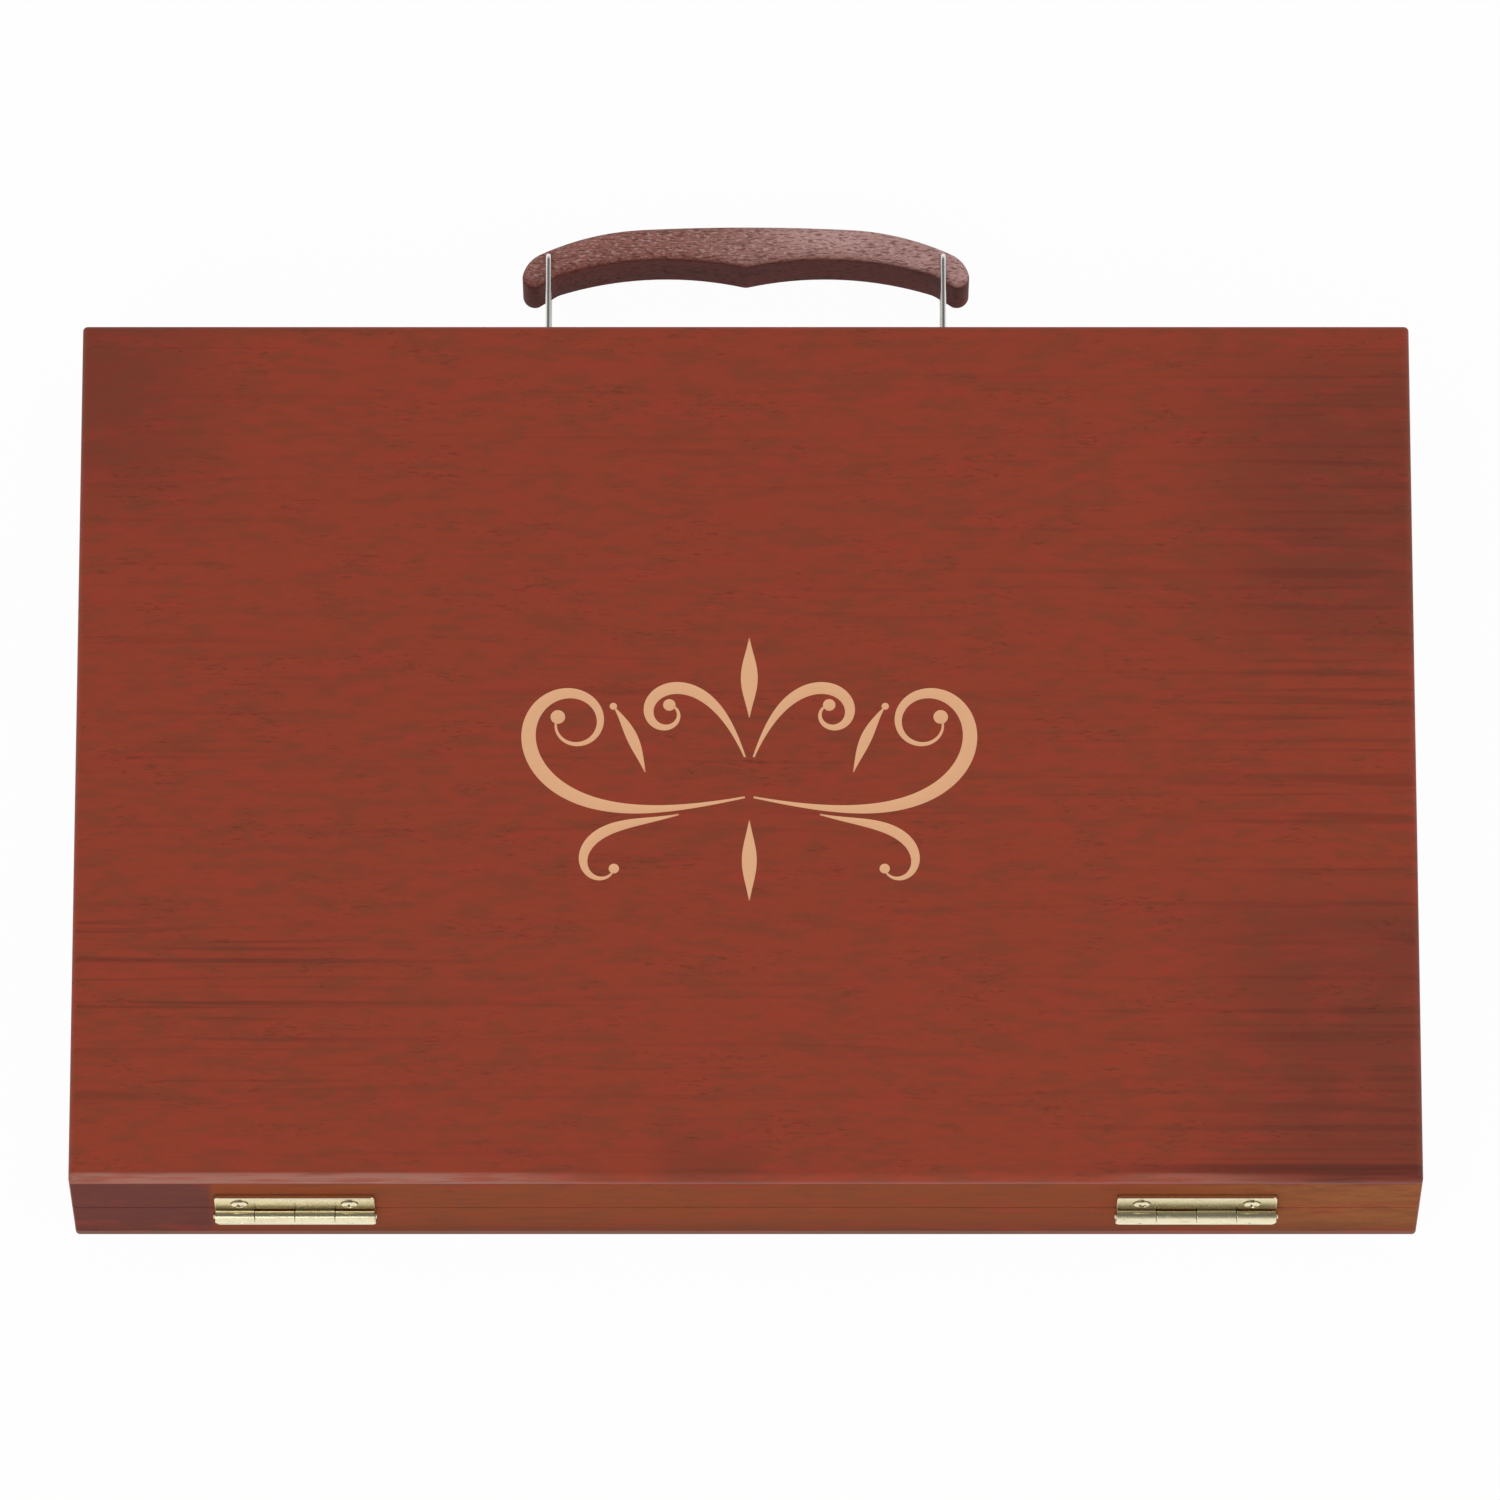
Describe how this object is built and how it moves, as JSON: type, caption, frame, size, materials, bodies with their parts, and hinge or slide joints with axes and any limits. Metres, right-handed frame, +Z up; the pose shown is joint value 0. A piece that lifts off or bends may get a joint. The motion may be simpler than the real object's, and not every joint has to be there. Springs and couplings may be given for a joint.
{
  "type": "wooden art set case",
  "caption": "Hinged flat wooden case with a carved carrying grip on wire bails, hasp latches and moulded trays for art supplies in both halves.",
  "frame": {"origin": "centre of the case's bottom face, which it rests on", "axes": "+X along the case's length, +Y towards the grip and latches, -Y towards the hinges, +Z up through the lid"},
  "size_m": [0.38, 0.3042, 0.05],
  "materials": {
    "case_wood": "red-brown stain under satin lacquer",
    "grip_wood": "dark open-grained wood, thin matt lacquer",
    "hinge_brass": "bright brass plate, lightly handled",
    "bail_wire": "nickel-plated steel wire and strip",
    "tray_plastic": "black flocked moulded sheet"
  },
  "bodies": {
    "base": {"base_panel": "case_wood", "base_front_wall": "case_wood", "base_back_wall": "case_wood", "base_left_wall": "case_wood", "base_right_wall": "case_wood", "base_tray": "tray_plastic", "left_hinge_base_leaf": "hinge_brass", "right_hinge_base_leaf": "hinge_brass", "left_hinge_pin": "hinge_brass", "right_hinge_pin": "hinge_brass", "base_hinge_screws": "hinge_brass", "left_bail_clip": "bail_wire", "right_bail_clip": "bail_wire", "bail_clip_screws": "bail_wire", "left_latch_keeper": "hinge_brass", "right_latch_keeper": "hinge_brass", "latch_keeper_screws": "hinge_brass"},
    "lid": {"lid_panel": "case_wood", "lid_front_wall": "case_wood", "lid_back_wall": "case_wood", "lid_left_wall": "case_wood", "lid_right_wall": "case_wood", "lid_tray": "tray_plastic", "left_hinge_lid_leaf": "hinge_brass", "right_hinge_lid_leaf": "hinge_brass", "lid_hinge_screws": "hinge_brass", "left_latch_plate": "hinge_brass", "right_latch_plate": "hinge_brass", "latch_plate_screws": "hinge_brass", "left_latch_pin": "hinge_brass", "right_latch_pin": "hinge_brass"},
    "left_bail": {"left_bail": "bail_wire"},
    "right_bail": {"right_bail": "bail_wire"},
    "grip": {"grip": "grip_wood"},
    "left_latch": {"left_latch_tongue": "hinge_brass"},
    "right_latch": {"right_latch_tongue": "hinge_brass"}
  },
  "joints": [
    {"name": "lid_hinge", "type": "hinge", "parent": "base", "child": "lid", "pos_m": [0, -0.13135, 0.025], "axis": [1, 0, 0], "range_deg": [0, 180]},
    {"name": "left_bail_swing", "type": "hinge", "parent": "base", "child": "left_bail", "pos_m": [-0.057, 0.1299, 0.0132], "axis": [0, 0, 1], "range_deg": [-72, 72]},
    {"name": "right_bail_swing", "type": "hinge", "parent": "base", "child": "right_bail", "pos_m": [0.057, 0.1299, 0.0132], "axis": [0, 0, 1], "range_deg": [-72, 72]},
    {"name": "grip_turn", "type": "hinge", "parent": "left_bail", "child": "grip", "pos_m": [-0.057, 0.1608, 0.0132], "axis": [0, 0, 1], "range_deg": [-72, 72]},
    {"name": "left_latch_swing", "type": "hinge", "parent": "lid", "child": "left_latch", "pos_m": [-0.125, 0.13105, 0.0312], "axis": [1, 0, 0], "range_deg": [-16, 120]},
    {"name": "right_latch_swing", "type": "hinge", "parent": "lid", "child": "right_latch", "pos_m": [0.125, 0.13105, 0.0312], "axis": [1, 0, 0], "range_deg": [-16, 120]}
  ],
  "couplings": [
    {"joint": "right_bail_swing", "follows": "left_bail_swing", "ratio": 1},
    {"joint": "grip_turn", "follows": "left_bail_swing", "ratio": -1}
  ]
}
